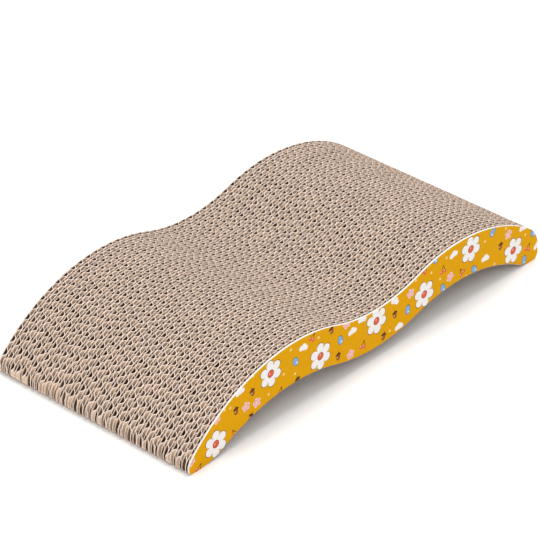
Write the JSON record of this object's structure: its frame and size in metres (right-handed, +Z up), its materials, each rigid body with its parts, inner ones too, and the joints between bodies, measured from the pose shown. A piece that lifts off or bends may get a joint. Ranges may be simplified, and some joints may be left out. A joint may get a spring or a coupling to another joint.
{
  "type": "cardboard cat scratcher",
  "caption": "Wave-shaped cat scratching pad of corrugated board strips on edge, glued side by side between two printed side panels, standing on a foot at each end.",
  "frame": {"origin": "on the floor, under the middle of the pad", "axes": "+X along the pad from the near, thin end to the far, blunt end, +Y across the strips from the front panel to the back panel, +Z up"},
  "size_m": [0.43, 0.21, 0.0645],
  "materials": {
    "corrugated_board": "matt kraft paper, raw cut edges",
    "printed_card": "satin print on white-lined card"
  },
  "bodies": {
    "root": {"board_strip_01": "corrugated_board", "board_strip_02": "corrugated_board", "board_strip_03": "corrugated_board", "board_strip_04": "corrugated_board", "board_strip_05": "corrugated_board", "board_strip_06": "corrugated_board", "board_strip_07": "corrugated_board", "board_strip_08": "corrugated_board", "board_strip_09": "corrugated_board", "board_strip_10": "corrugated_board", "board_strip_11": "corrugated_board", "board_strip_12": "corrugated_board", "board_strip_13": "corrugated_board", "board_strip_14": "corrugated_board", "board_strip_15": "corrugated_board", "board_strip_16": "corrugated_board", "board_strip_17": "corrugated_board", "board_strip_18": "corrugated_board", "board_strip_19": "corrugated_board", "board_strip_20": "corrugated_board", "board_strip_21": "corrugated_board", "board_strip_22": "corrugated_board", "board_strip_23": "corrugated_board", "board_strip_24": "corrugated_board", "board_strip_25": "corrugated_board", "board_strip_26": "corrugated_board", "board_strip_27": "corrugated_board", "board_strip_28": "corrugated_board", "board_strip_29": "corrugated_board", "board_strip_30": "corrugated_board", "board_strip_31": "corrugated_board", "board_strip_32": "corrugated_board", "printed_panel_front": "printed_card", "printed_panel_back": "printed_card"}
  },
  "joints": []
}
